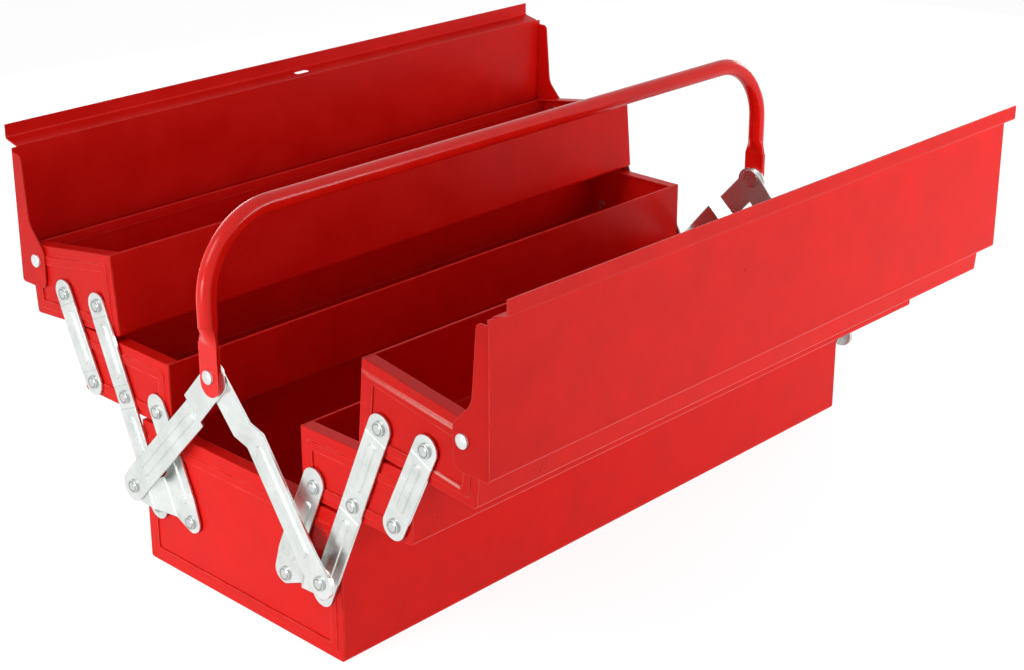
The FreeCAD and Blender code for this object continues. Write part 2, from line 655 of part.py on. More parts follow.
def make_handle_arm(label, joggle):
    """An arm from the crank's foot that leans in and is joggled out near the handle."""
    body = new_body(label)
    reach = "(arm_length + arm_width)"
    upper = f"{joggle} - arm_dip"
    section = (
        ("0", "-arm_width", None),
        ("link_thick", "-arm_width", None),
        ("link_thick", "arm_dip_start", None),
        ("link_thick - arm_dip", "arm_bend_start", "link_thick"),
        (f"{upper} + link_thick", "arm_bend_stop", "link_thick"),
        (f"{upper} + link_thick", reach, None),
        (upper, reach, None),
        (upper, "arm_bend_stop", "link_thick"),
        ("-arm_dip", "arm_bend_start", "link_thick"),
        ("0", "arm_dip_start", None),
    )
    pad(body, outline(draw(body, "XZ_Plane"), section), "2 * arm_width", midplane=True)
    plan = bar("arm_width", "-arm_width / 2", "arm_length + arm_width / 2", "arm_round")
    trim(body, plan, f"{joggle} + link_thick", "(2 * arm_length)", "arm_dip")
    long_bead(body, "link_thick", "arm_bead_end",
              "arm_bend_start - arm_dip_start - link_thick - arm_bead_end",
              "arm_bead_width", "arm_bead_round", rise="arm_dip_start", lean="arm_slope")
    drill(body, (("0", "0", "pivot_hole"), ("0", "arm_length", "pivot_radius + arm_slack")),
          f"{joggle} + link_thick", "arm_dip")
    place(body, "foot_y", "arm_x", "foot_z", turn="arm_angle", axis=ENDWAYS)
    return body


# Lids

def make_lid(label, step_rise):
    """A folded lid about its hinge: eave, flat, step, lip and an ear at each end."""
    body = new_body(label)
    inner = "lid_standoff - sheet_thick"
    flat = (
        ("eave_tip", "-lid_drop", None),
        ("lid_standoff", "-lid_drop", "bend_radius"),
        ("lid_standoff", "lid_rise", None),
        (inner, "lid_rise", None),
        (inner, "sheet_thick - lid_drop", "inner_bend"),
        ("eave_tip", "sheet_thick - lid_drop", None),
    )
    pad(body, outline(draw(body, shift="-lid_end_x"), flat), "2 * lid_end_x")
    lean = f"lid_step_run / {step_rise} * sheet_thick"
    thick = f"sheet_thick * sqrt({step_rise}^2 + lid_step_run^2) / {step_rise}"
    lip_stop = "lid_rise + lid_step_run + lip_length"
    step = (
        (inner, "lid_rise - sheet_thick", None),
        ("lid_standoff", "lid_rise - sheet_thick", None),
        ("lid_standoff", "lid_rise", None),
        (f"lid_standoff + {step_rise}", "lid_rise + lid_step_run", "bend_radius"),
        (f"lid_standoff + {step_rise}", lip_stop, None),
        (f"{inner} + {step_rise}", lip_stop, None),
        (f"{inner} + {step_rise}", f"lid_rise + lid_step_run - {lean} + {thick}", "inner_bend"),
        (inner, f"lid_rise - {lean} + {thick}", None),
    )
    sketch = outline(draw(body, shift="lip_inset - lid_end_x"), step)
    pad(body, sketch, "2 * (lid_end_x - lip_inset)")
    ear = (
        ("lid_standoff", "-lid_drop", "bend_radius"),
        ("lid_standoff", "lid_rise - ear_top_gap", None),
        ("lid_standoff - ear_width", "lid_rise - ear_top_gap", "ear_top_round"),
        ("lid_standoff - ear_waist", "ear_waist_rise", "ear_waist_round"),
        ("-ear_back", "ear_shoulder", "ear_round"),
        ("-ear_back", "-lid_drop", "ear_round"),
    )
    pad(body, outline(draw(body, shift="link_x"), ear), "sheet_thick")
    pad(body, outline(draw(body, shift="-lid_end_x"), ear), "sheet_thick")
    holes = circle(draw(body, shift="-lid_end_x - overrun"), "0", "0", "pivot_hole")
    pocket(body, holes, "2 * (lid_end_x + overrun)")
    slot_middle = f"(lid_standoff + {step_rise} / 2)"
    slot = oblong("-padlock_length / 2", "padlock_length / 2",
                  slot_middle + " - padlock_width / 2", slot_middle + " + padlock_width / 2",
                  "padlock_width * round_share")
    slot_sketch = outline(draw(body, "XY_Plane", "lid_rise - overrun"), slot)
    pocket(body, slot_sketch, "lid_step_run + 2 * overrun")
    place(body, "lid_y", "0", "lid_z")
    return body


# Handle

def make_handle_half():
    """Half of the handle: a bent tube whose end is blended into a flat with a hole."""
    body = new_body("handle_half")
    path = draw(body, "XZ_Plane")
    leg = value("handle_middle_x")
    top = value("handle_top_z")
    foot = value("handle_round_z")
    bend = value("handle_bend")
    run = path.addGeometry(Part.LineSegment(Vector(0, top, 0), Vector(leg - bend, top, 0)), False)
    centre = Vector(leg - bend, top - bend, 0)
    round_edge = Part.ArcOfCircle(Part.Circle(centre, Vector(0, 0, 1), bend), 0, math.pi / 2)
    curve = path.addGeometry(round_edge, False)
    drop = path.addGeometry(Part.LineSegment(Vector(leg, top - bend, 0), Vector(leg, foot, 0)),
                            False)
    path.addConstraint(Sketcher.Constraint("Tangent", run, 2, curve, 2))
    path.addConstraint(Sketcher.Constraint("Tangent", curve, 1, drop, 1))
    path.addConstraint(Sketcher.Constraint("Horizontal", run))
    path.addConstraint(Sketcher.Constraint("Vertical", drop))
    number = path.addConstraint(Sketcher.Constraint("Radius", curve, bend))
    path.setExpression(f"Constraints[{number}]", bound("handle_bend"))
    pin(path, run, 1, "0", "handle_top_z")
    pin(path, drop, 2, "handle_middle_x", "handle_round_z")
    ring = draw(body, "YZ_Plane")
    circle(ring, "0", "handle_top_z", "handle_radius")
    circle(ring, "0", "handle_top_z", "handle_radius - handle_wall")
    tube = body.newObject("PartDesign::AdditivePipe", "Tube")
    tube.Profile = ring
    tube.Spine = (path, ["Edge1", "Edge2", "Edge3"])
    upper = circle(draw(body, "XY_Plane", "handle_round_z"), "handle_middle_x", "0",
                   "handle_radius")
    half = "handle_flat_thick / 2"
    side = "handle_flat_width / 2"
    flat = oblong(f"handle_middle_x - {half}", f"handle_middle_x + {half}", f"-{side}", side,
                  "handle_flat_thick * flat_round_share")
    lower = outline(draw(body, "XY_Plane", "handle_flat_z"), flat)
    blend = body.newObject("PartDesign::AdditiveLoft", "Blend")
    blend.Profile = upper
    blend.Sections = [lower]
    low = f"handle_pivot_height - handle_flat_tail - {side}"
    rounded = "handle_flat_width * round_share"
    plate = (("-" + side, low, rounded), (side, low, rounded),
             (side, "handle_flat_z", None), ("-" + side, "handle_flat_z", None))
    pad(body, outline(draw(body, shift="handle_x"), plate), "handle_flat_thick")
    hole = circle(draw(body, shift="handle_x - overrun"), "0", "handle_pivot_height",
                  "pivot_radius")
    pocket(body, hole, "handle_flat_thick + 2 * overrun")
    return body


# Bottom box

node(trough("box_body", "-half_width", "half_width", "box_height", "box_height"), "box_body")
box_pivots = (("crank_y", "crank_height"), ("long_arm_y", "crank_height"),
              ("-crank_y", "crank_height"), ("-long_arm_y", "crank_height"))
box_end = end_panel("box_end_rear", "-half_width", "half_width", "box_height", "box_height",
                    "box_bead_drop", box_pivots)
node(box_end, "box_end_rear")
mirror(box_end, ENDWAYS, "box_end_front")
box_rivets = [panel_rivet(f"box_rivet_{index}", across, up)
              for index, (across, up) in enumerate(box_pivots, start=1)]
node(at_both_ends(box_rivets, "box_rivets"), "box_rivets")

# Lower trays

lower_pivots = (("tray_pivot_in", "tray_pivot_up"),
                ("tray_pivot_in + pivot_spacing", "tray_pivot_up"),
                ("outer_pivot_in", "tray_pivot_up"))
lower_body = trough("left_lower_tray_body", "0", "tray_width", "lower_tray_height",
                    "lower_tray_height")
lower_end = end_panel("left_lower_tray_end_rear", "0", "tray_width", "lower_tray_height",
                      "lower_tray_height", "tray_bead_drop", lower_pivots)
for piece in (lower_body, lower_end):
    place(piece, "lower_y", "0", "lower_z")
two(lower_body, "lower_tray_body")
four(lower_end, "lower_tray_end")
lower_rivets = [panel_rivet(f"lower_tray_rivet_{index}", f"lower_y + {across}", f"lower_z + {up}")
                for index, (across, up) in enumerate(lower_pivots, start=1)]
two(at_both_ends(lower_rivets, "left_lower_tray_rivets"), "lower_tray_rivets")

# Upper trays

upper_pivots = (("upper_pivot_in", "upper_pivot_up"), ("outer_top_in", "outer_top_up"),
                ("lid_pivot_in", "lid_pivot_up"))
upper_body = trough("left_upper_tray_body", "0", "tray_width", "upper_inner_height",
                    "upper_outer_height")
upper_end = end_panel("left_upper_tray_end_rear", "0", "tray_width", "upper_inner_height",
                      "upper_outer_height", "tray_bead_drop", upper_pivots)
for piece in (upper_body, upper_end):
    place(piece, "upper_y", "0", "upper_z", turn="upper_tray_tilt", axis=-ENDWAYS)
two(upper_body, "upper_tray_body")
four(upper_end, "upper_tray_end")
upper_rivets = [
    panel_rivet("upper_tray_rivet_1", "long_top_y", "long_top_z"),
    panel_rivet("upper_tray_rivet_2", "outer_foot_y + outer_run", "outer_foot_z + outer_climb"),
    panel_rivet("upper_tray_rivet_3", "lid_y", "lid_z", "lid_end_x + play", "lid_head_height"),
]
two(at_both_ends(upper_rivets, "left_upper_tray_rivets"), "upper_tray_rivets")

# Cranks, long arms and outer links

four(make_crank(), "crank")
long_arm = link(
    "long_arm", "long_arm_length",
    (("0", "0", "pivot_hole"), ("0", "crank_length", "pivot_hole"),
     ("0", "long_arm_length", "pivot_hole")),
    (("0", "crank_length"), ("crank_length", "long_arm_length")))
place(long_arm, "long_arm_y", "link_x", "crank_height", turn="open_angle", axis=-ENDWAYS)
four(long_arm, "long_arm")
outer_link = link(
    "outer_link", "outer_link_length",
    (("0", "0", "pivot_hole"), ("0", "outer_link_length", "pivot_radius + link_slack")),
    (("0", "outer_link_length"),))
place(outer_link, "outer_foot_y", "link_x", "outer_foot_z", turn="outer_link_angle",
      axis=-ENDWAYS)
four(outer_link, "outer_link")

# Handle arms and their lower rivets

crank_rivet = rivet("crank_rivet", "foot_y", "foot_z", "foot_top_x - link_thick",
                    "arm_top_x + play", collar=("foot_top_x", "arm_x - play"))
two(at_both_ends([crank_rivet], "left_crank_rivets"), "crank_rivets")
left_arm = make_handle_arm("left_handle_arm_rear", "left_joggle")
node(left_arm, "left_handle_arm_rear")
mirror(left_arm, ENDWAYS, "left_handle_arm_front")
right_arm_pattern = make_handle_arm("right_handle_arm_pattern", "arm_joggle")
right_arm = mirror(right_arm_pattern, SIDEWAYS, "right_handle_arm_rear")
mirror(right_arm, ENDWAYS, "right_handle_arm_front")

# Lids

node(make_lid("left_lid", "left_step_rise"), "left_lid")
mirror(make_lid("right_lid_pattern", "right_step_rise"), SIDEWAYS, "right_lid")

# Handle and its rivets

handle_half = make_handle_half()
handle_other = doc.addObject("Part::Mirroring", "handle_other_half")
handle_other.Source = handle_half
handle_other.Normal = ENDWAYS
handle = doc.addObject("Part::Fuse", "handle_tube")
handle.Base = handle_half
handle.Tool = handle_other
node(handle, "handle_tube")
handle_rivet = rivet("handle_rivet", "0", "handle_pivot_height",
                     "arm_upper_x - arm_gap", "handle_x + handle_flat_thick",
                     head="lid_head_height", tail=("washer_radius", "washer_thick"))
node(at_both_ends([handle_rivet], "handle_rivets"), "handle_rivets")

sheet.clear(WORK_CELL)
doc.recompute()

faults = [item.Label for item in doc.Objects if {"Invalid", "Error"} & set(item.State)]
faults += [item.Label for item in NODES if item.Shape.isNull() or not item.Shape.isValid()]
print("faults", faults)
for item in NODES:
    box = item.Shape.BoundBox
    print(item.Label, len(item.Shape.Solids), round(item.Shape.Volume), box)
if faults:
    raise SystemExit("These objects failed: " + ", ".join(faults))

os.makedirs("parts", exist_ok=True)
for item in NODES:
    item.Shape.exportStep(f"parts/{item.Label}.step")
print(len(NODES), "sub-parts written")
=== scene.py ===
# %% [markdown]
# # Dressing a cantilever tool box
#
# The pressed and folded steel of this box comes from CAD and already has its shape,
# so the lesson is mostly about finish: gloss enamel on the sheet, zinc plate on the
# links and a properly set head on every rivet. Lengths are in metres, as in the
# frame, and MM turns a size in millimetres into them.

# %% The fixed frame
import json
import math

import bpy
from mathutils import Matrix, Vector

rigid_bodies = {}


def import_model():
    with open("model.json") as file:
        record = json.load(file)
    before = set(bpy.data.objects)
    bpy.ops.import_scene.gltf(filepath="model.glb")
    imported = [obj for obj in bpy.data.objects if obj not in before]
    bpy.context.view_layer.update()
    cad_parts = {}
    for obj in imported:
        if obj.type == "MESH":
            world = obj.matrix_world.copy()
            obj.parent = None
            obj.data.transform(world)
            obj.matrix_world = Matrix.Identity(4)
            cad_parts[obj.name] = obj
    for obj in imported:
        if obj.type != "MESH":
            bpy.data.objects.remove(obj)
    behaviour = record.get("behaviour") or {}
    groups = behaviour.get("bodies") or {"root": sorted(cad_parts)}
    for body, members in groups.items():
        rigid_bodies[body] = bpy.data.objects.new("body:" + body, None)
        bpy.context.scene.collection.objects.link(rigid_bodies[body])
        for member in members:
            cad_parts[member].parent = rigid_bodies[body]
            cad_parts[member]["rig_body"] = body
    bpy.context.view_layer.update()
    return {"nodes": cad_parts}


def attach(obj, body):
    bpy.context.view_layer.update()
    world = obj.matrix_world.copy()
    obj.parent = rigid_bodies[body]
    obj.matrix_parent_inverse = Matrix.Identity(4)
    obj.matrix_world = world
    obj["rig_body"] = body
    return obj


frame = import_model()
nodes = frame["nodes"]
MM = 0.001
print("nodes in the frame:", len(nodes))


# %% [markdown]
# ## Colours and nodes
#
# A paint colour is easiest to pick as it looks on a screen, in sRGB, but Cycles works
# in linear light. Each colour could be converted by hand. One function does it here,
# so that the recipes can show the hex values.
#
# Materials could be drawn in the node editor. In a script each node takes a few
# lines, so a second function adds a node, gives it its settings and fills its inputs:
# with a value, a socket, or another node, whose first output in use is then linked.

# %% A colour and a node
def colour(code):
    parts = [int(code[i:i + 2], 16) / 255 for i in (1, 3, 5)]
    return [p / 12.92 if p <= 0.04045 else ((p + 0.055) / 1.055) ** 2.4 for p in parts] + [1.0]


def add(tree, kind, settings=None, inputs=None):
    node = tree.nodes.new(kind)
    for name, value in (settings or {}).items():
        setattr(node, name, value)
    for name, value in (inputs or {}).items():
        if isinstance(value, bpy.types.Node):
            value = next(socket for socket in value.outputs if socket.enabled)
        if isinstance(value, bpy.types.NodeSocket):
            tree.links.new(value, node.inputs[name])
        else:
            node.inputs[name].default_value = value
    return node


MULTIPLY = {"operation": "MULTIPLY"}
MIX_COLOURS = {"data_type": "RGBA"}
# A Mix node has inputs for every type that it can mix. These are the ones for colours.
AMOUNT, UNDER, OVER = 0, 6, 7
print("enamel red in linear light:", [round(part, 3) for part in colour("#d20e08")])


# %% A new material
def new_material(name):
    material = bpy.data.materials.new(name)
    material.use_nodes = True
    tree = material.node_tree
    tree.nodes.clear()
    return material, tree, add(tree, "ShaderNodeTexCoord").outputs["Object"]


# %% [markdown]
# ## Folds and cut edges
#
# Folds catch light. The enamel is painted pale along them, partly for paint pulled thin
# there and partly as a painted highlight, and the plate is painted darker there as
# painted shade. The edges could be marked in the mesh or painted by hand. The Bevel node
# is quicker: it gives the normal that a slightly rounded edge would have, and where that
# differs from the true normal, there is an edge.

# %% A mask for folds
def fold_mask(tree, rounded):
    """1 along folds and cut edges, from a Bevel node's rounded normal."""
    true = add(tree, "ShaderNodeNewGeometry").outputs["True Normal"]
    same = add(tree, "ShaderNodeVectorMath", {"operation": "DOT_PRODUCT"}, {
        0: rounded, 1: true})
    return add(tree, "ShaderNodeMapRange", {}, {
        "Value": same.outputs["Value"], "From Min": 0.995, "From Max": 0.90})


# %% [markdown]
# ## Red stoving enamel
#
# The sheet is sprayed with a red gloss enamel and baked. Sprayed gloss is never quite
# flat: it dries with an orange peel, here 1.5 mm across. Its folds are painted pale,
# partly for paint pulled thin there and partly as a painted highlight. Handling leaves
# faint clouds about 30 mm across.
#
# One colour under a clear coat would be the quick way, but it looks like plastic.
# Here one noise of a real size drives colour and roughness together, because a
# handled place is both lighter and duller than the rest.

# %% Enamel
FOLD = 0.7 * MM          # width of the pale band along a fold: thin paint and painted highlight
PALE_PLACE = 9 * MM      # length of the places where the pale band is palest
CLOUD = 32 * MM          # handling marks
PEEL = 1.5 * MM          # orange peel
PEEL_DEPTH = 0.1 * MM
# Paint has an IOR of about 1.5. The shaded faces in the photograph reflect far less
# of the white studio than that gives, so this one is matched to them.
ENAMEL_IOR = 1.25


def enamel(name, tones=("#d20e08", "#e91911"), shine=0.4, rough=(0.22, 0.45), wear_and_highlight=None):
    material, tree, place = new_material(name)
    clouds = add(tree, "ShaderNodeTexNoise", {}, {
        "Vector": place, "Scale": 1 / CLOUD, "Detail": 4.0, "Roughness": 0.6})
    shade = add(tree, "ShaderNodeMapRange", {}, {
        "Value": clouds, "From Min": 0.1, "From Max": 0.9})
    tone = add(tree, "ShaderNodeMix", MIX_COLOURS, {
        AMOUNT: shade, UNDER: colour(tones[0]), OVER: colour(tones[1])})

    rounded = add(tree, "ShaderNodeBevel", {"samples": 4}, {"Radius": FOLD})
    places = add(tree, "ShaderNodeTexNoise", {}, {
        "Vector": place, "Scale": 1 / PALE_PLACE, "Detail": 3.0})
    share = add(tree, "ShaderNodeMapRange", {}, {
        "Value": places, "From Min": 0.35, "From Max": 0.6, "To Min": 0.15, "To Max": 0.6})
    # Folds are painted pale: partly paint pulled thin, partly a painted highlight.
    thin_paint_and_highlight = add(tree, "ShaderNodeMath", MULTIPLY, {0: fold_mask(tree, rounded), 1: share})
    tone = add(tree, "ShaderNodeMix", MIX_COLOURS, {
        AMOUNT: thin_paint_and_highlight, UNDER: tone, OVER: colour("#f47a6c")})
    if wear_and_highlight:
        tone = wear_and_highlight(tree, place, tone)

    peel = add(tree, "ShaderNodeTexNoise", {}, {
        "Vector": place, "Scale": 1 / PEEL, "Detail": 1.0})
    bump = add(tree, "ShaderNodeBump", {}, {
        "Height": peel, "Strength": 0.06, "Distance": PEEL_DEPTH})
    dullness = add(tree, "ShaderNodeMapRange", {}, {
        "Value": clouds, "From Min": 0.1, "From Max": 0.9,
        "To Min": rough[0], "To Max": rough[1]})
    shader = add(tree, "ShaderNodeBsdfPrincipled", {}, {
        "Base Color": tone, "Roughness": dullness, "Normal": bump,
        "IOR": ENAMEL_IOR, "Specular IOR Level": shine})
    add(tree, "ShaderNodeOutputMaterial", {}, {"Surface": shader})
    print(name, "has", len(tree.nodes), "nodes")
    return material


# %% [markdown]
# ## A rubbed border
#
# The right upper tray's front end has been rubbed, with torn flecks along the top of its
# pressed border. The pale streak under the flecks, and a short one on the border's bottom
# run, are partly worn red and partly a painted highlight. An image could be painted for
# this. The marks are few and straight, so the distance from a line in the frame is
# enough, and a fine grit breaks them up.

# %% Stripes at a distance from a line
def stripe(tree, value, middle, half, soft):
    """1 within half of the middle, falling to 0 over the soft distance beyond."""
    off = add(tree, "ShaderNodeMath", {"operation": "SUBTRACT"}, {0: value, 1: middle})
    away = add(tree, "ShaderNodeMath", {"operation": "ABSOLUTE"}, {0: off})
    return add(tree, "ShaderNodeMapRange", {}, {
        "Value": away, "From Min": half + soft, "From Max": half})


# %% Rubbed border of one tray end, with a painted highlight
BORDER_SLOPE = 0.153     # the border drops this much for each metre outwards
GRIT = 2.5 * MM          # breaks the marks up


def rubbed_and_highlit_border(tree, place, tone):
    part = add(tree, "ShaderNodeSeparateXYZ", {}, {"Vector": place})
    out = part.outputs["Y"]
    lean = add(tree, "ShaderNodeMath", MULTIPLY, {0: out, 1: -BORDER_SLOPE})
    line = add(tree, "ShaderNodeMath", {"operation": "ADD"}, {0: part.outputs["Z"], 1: lean})
    grit = add(tree, "ShaderNodeTexNoise", {}, {
        "Vector": place, "Scale": 1 / GRIT, "Detail": 5.0, "Roughness": 0.7})
    streak_grit = add(tree, "ShaderNodeMapRange", {}, {
        "Value": grit, "From Min": 0.3, "From Max": 0.5, "To Min": 0.55, "To Max": 1.0})
    torn = add(tree, "ShaderNodeMapRange", {}, {
        "Value": grit, "From Min": 0.55, "From Max": 0.62})
    fade = add(tree, "ShaderNodeMapRange", {}, {
        "Value": out, "From Min": -130 * MM, "From Max": -190 * MM,
        "To Min": 0.25, "To Max": 0.9})
    # The two pale streaks are partly worn red and partly painted highlight; the dark flecks are
    # torn paint.
    wear_and_highlight_streak = (stripe(tree, line, 226.0 * MM, 0.9 * MM, 1.0 * MM), fade, streak_grit)
    flecks = (stripe(tree, line, 232.8 * MM, 1.0 * MM, 0.8 * MM), torn,
              stripe(tree, out, -171 * MM, 9 * MM, 4 * MM), 0.7)
    low_wear_and_highlight_streak = (stripe(tree, line, 191.1 * MM, 0.5 * MM, 0.8 * MM),
                  stripe(tree, out, -195 * MM, 9 * MM, 2 * MM), 0.85)
    for factors, shade in ((wear_and_highlight_streak, "#f3948b"), (flecks, "#8a4a3c"), (low_wear_and_highlight_streak, "#f6a69c")):
        amount = factors[0]
        for factor in factors[1:]:
            amount = add(tree, "ShaderNodeMath", MULTIPLY, {0: amount, 1: factor})
        tone = add(tree, "ShaderNodeMix", MIX_COLOURS, {
            AMOUNT: amount, UNDER: tone, OVER: colour(shade)})
    return tone


# %% The three enamels
red_enamel = enamel("red stoving enamel")
# The tube's red is painted lighter than the sheet's to stand in for the light on it; it is also
# glossier.
lightened_handle_enamel = enamel("red gloss enamel on tube, painted lighter", ("#e5140b", "#f61e14"), 0.9, (0.12, 0.25))
rubbed_and_highlit_enamel = enamel("red stoving enamel, rubbed and highlit", wear_and_highlight=rubbed_and_highlit_border)


# %% [markdown]
# ## Zinc plate
#
# The links are pressed steel with bright zinc plate. Zinc is pale and a little blue.
# It has a cloudy crystal pattern some millimetres wide and fine rolling lines, and
# it gets a grey film where links rub. A plain grey metal would show the shapes, but
# real plate is told by its unevenness, so each of these is one layer over the base.
#
# Real rolling lines are a few tenths of a millimetre apart, too fine to show in this
# picture, so they are drawn 1.2 mm apart.

# %% Plated steel
PLATE_EDGE = 0.5 * MM    # width of the painted dark edge
FILM = 18 * MM           # dull film
GRIME = 3 * MM           # dark specks
ROLLING = 1.2 * MM       # rolling lines, drawn out along Z
ROLLING_STRETCH = (1.0, 1.0, 0.12)
ROLLING_DEPTH = 0.08 * MM


def plated(name, light, dark, rough, crystal, marks=()):
    material, tree, place = new_material(name)
    film = add(tree, "ShaderNodeTexNoise", {}, {
        "Vector": place, "Scale": 1 / FILM, "Detail": 3.0, "Roughness": 0.55})
    shade = add(tree, "ShaderNodeMapRange", {}, {
        "Value": film, "From Min": 0.15, "From Max": 0.85})
    tone = add(tree, "ShaderNodeMix", MIX_COLOURS, {
        AMOUNT: shade, UNDER: colour(dark), OVER: colour(light)})

    cells = add(tree, "ShaderNodeTexVoronoi", {}, {
        "Vector": place, "Scale": 1 / crystal, "Randomness": 1.0})
    grey = add(tree, "ShaderNodeRGBToBW", {}, {"Color": cells.outputs["Color"]})
    spangle = add(tree, "ShaderNodeMapRange", {}, {
        "Value": grey, "From Min": 0.2, "From Max": 0.8, "To Min": 0.0, "To Max": 0.12})
    specks = add(tree, "ShaderNodeTexNoise", {}, {
        "Vector": place, "Scale": 1 / GRIME, "Detail": 5.0, "Roughness": 0.7})
    grime = add(tree, "ShaderNodeMapRange", {}, {
        "Value": specks, "From Min": 0.62, "From Max": 0.70, "To Min": 0.0, "To Max": 0.35})
    # The plate's edges and folds are darkened here: this is painted shade.
    rounded = add(tree, "ShaderNodeBevel", {"samples": 4}, {"Radius": PLATE_EDGE})
    shaded_edges = add(tree, "ShaderNodeMath", MULTIPLY, {0: fold_mask(tree, rounded), 1: 0.45})
    layers = [(spangle, "#fafbfb"), (grime, "#8b908d"), (shaded_edges, "#7d8280")]
    for word, amount, over in marks:
        mark = add(tree, "ShaderNodeAttribute", {"attribute_name": word}).outputs["Fac"]
        layers.append((add(tree, "ShaderNodeMath", MULTIPLY, {0: mark, 1: amount}), over))
    for amount, over in layers:
        tone = add(tree, "ShaderNodeMix", MIX_COLOURS, {
            AMOUNT: amount, UNDER: tone, OVER: colour(over)})

    drawn = add(tree, "ShaderNodeMapping", {}, {"Vector": place, "Scale": ROLLING_STRETCH})
    lines = add(tree, "ShaderNodeTexNoise", {}, {"Vector": drawn, "Scale": 1 / ROLLING})
    bump = add(tree, "ShaderNodeBump", {}, {
        "Height": lines, "Strength": 0.08, "Distance": ROLLING_DEPTH, "Normal": rounded})
    dullness = add(tree, "ShaderNodeMapRange", {}, {
        "Value": film, "From Min": 0.1, "From Max": 0.9,
        "To Min": rough[1], "To Max": rough[0]})
    shader = add(tree, "ShaderNodeBsdfPrincipled", {}, {
        "Base Color": tone, "Roughness": dullness, "Normal": bump, "Metallic": 1.0})
    add(tree, "ShaderNodeOutputMaterial", {}, {"Surface": shader})
    print(name, "has", len(tree.nodes), "nodes")
    return material


zinc = plated("bright zinc plate", "#f1f5f3", "#c3cac6", (0.21, 0.41), 3 * MM)
# On a rivet the groove mark is painted shade: the groove and the underside of a head's rim are
# darkened.
rivet_steel = plated("zinc plated rivet", "#f2f4f3", "#cdd1cf", (0.17, 0.37), 2 * MM,
                     (("dull", 0.45, "#b0b6b4"), ("groove_shade", 0.75, "#5a5f5e")))


# %% [markdown]
# ## Which piece gets which finish
#
# On the real box every sheet is painted before the plated links are riveted on, so a
# link or rivet carries no red. The finishes could be set one by one. The nodes'
# names say what each one is, so a few words sort all of them.

# %% Finishes
for name, thing in nodes.items():
    if "rivets" in name:
        finish = rivet_steel
    elif any(word in name for word in ("crank", "arm", "link")):
        finish = zinc
    elif name == "right_upper_tray_end_front":
        finish = rubbed_and_highlit_enamel
    elif name == "handle_tube":
        finish = lightened_handle_enamel
    else:
        finish = red_enamel
    for slot in thing.material_slots:
        slot.material = finish
print("finished nodes:", len(nodes))


# %% [markdown]
# ## Set rivet heads
#
# Two kinds of head are set on this box. The links' rivets are pressed nearly flat,
# dull grey, with a groove where the tool bit, whose shade is painted in as a dark ring.
# Those of the lids and the handle are plain bright domes. Under every head's rim the
# shade is painted darker too.
#
# Each head could be modelled where it belongs. A Geometry Nodes tree does it better:
# it revolves one profile and sets it on every rivet of a body. The places are
# measured in the frame. Each loose piece of a rivet node is one rivet, and its outer
# end carries the head.

# %% Loose pieces of a node
MEETING = 0.001 * MM     # corners closer than this belong together


def islands(mesh):
    """The corners of each loose piece, found by joining the corners that meet."""
    spots, owner, index = {}, [], []

    def root(i):
        while owner[i] != i:
            owner[i] = owner[owner[i]]
            i = owner[i]
        return i

    for vertex in mesh.vertices:
        key = tuple(round(c / MEETING) for c in vertex.co)
        if key not in spots:
            spots[key] = len(owner)
            owner.append(len(owner))
        index.append(spots[key])
    for polygon in mesh.polygons:
        first = root(index[polygon.vertices[0]])
        for corner in polygon.vertices[1:]:
            owner[root(index[corner])] = first
    groups = {}
    for vertex in mesh.vertices:
        groups.setdefault(root(index[vertex.index]), []).append(vertex.co)
    return list(groups.values())


# %% Find the rivets
HEAD_DEPTH = 1.2 * MM    # a head's radius is measured this close to its outer end


def rivet(points):
    """The middle of a rivet's outer end, the side it faces and its head's radius."""
    low = Vector([min(p[i] for p in points) for i in range(3)])
    high = Vector([max(p[i] for p in points) for i in range(3)])
    middle = (low + high) / 2
    side = -1 if middle.x < 0 else 1
    outer = low.x if side < 0 else high.x
    radius = max(math.hypot(p.y - middle.y, p.z - middle.z)
                 for p in points if abs(p.x - outer) < HEAD_DEPTH)
    return Vector((outer, middle.y, middle.z)), side, radius


rivet_nodes = {name: [rivet(points) for points in islands(thing.data)]
               for name, thing in nodes.items() if "rivets" in name}
for name, found in rivet_nodes.items():
    radii = sorted({round(radius / MM, 2) for spot, side, radius in found})
    print(name, len(found), "rivets, radii in mm:", radii)


# %% Head profiles
# Each row is height, width and painted groove shade, as shares, from the middle to behind the
# edge.
FLAT_HEAD = [(1.0, 0.0, 0), (0.99, 0.2, 0), (0.96, 0.42, 0), (0.9, 0.6, 0), (0.55, 0.68, 0.6),
             (0.1, 0.73, 1), (0.5, 0.79, 0.5), (0.62, 0.88, 0), (0.35, 0.97, 0),
             (-0.3, 1.0, 0.3), (-1.4, 1.0, 0.6)]
DOMED_HEAD = [(1.0, 0.0, 0), (0.97, 0.2, 0), (0.9, 0.38, 0), (0.77, 0.54, 0), (0.6, 0.68, 0),
              (0.42, 0.79, 0), (0.24, 0.88, 0), (0.08, 0.95, 0), (-0.1, 0.99, 0.1),
              (-0.3, 1.0, 0.3), (-0.8, 1.0, 0.5)]
LOWEST_SHARE = -2.0      # a Float Curve clips what is below this
print("rings of a flat and a domed head:", len(FLAT_HEAD), len(DOMED_HEAD))


# %% A profile as curves
def profile_curves(tree, along, shares):
    """One Float Curve for each column of a profile, straight between its rows."""
    curves = []
    for column in zip(*shares):
        node = add(tree, "ShaderNodeFloatCurve", {}, {"Value": along})
        node.mapping.clip_min_y = LOWEST_SHARE
        curve = node.mapping.curves[0]
        points = [(i / (len(column) - 1), value) for i, value in enumerate(column)]
        curve.points[0].location = points[0]
        curve.points[1].location = points[-1]
        for point in points[1:-1]:
            curve.points.new(*point)
        for point in curve.points:
            point.handle_type = "VECTOR"
        node.mapping.update()
        curves.append(node)
    return curves


# %% A tree that revolves a profile on every point
FACES_ROUND = 36
SEAM = 0.002 * MM        # corners closer than this are merged: the seam and the pole


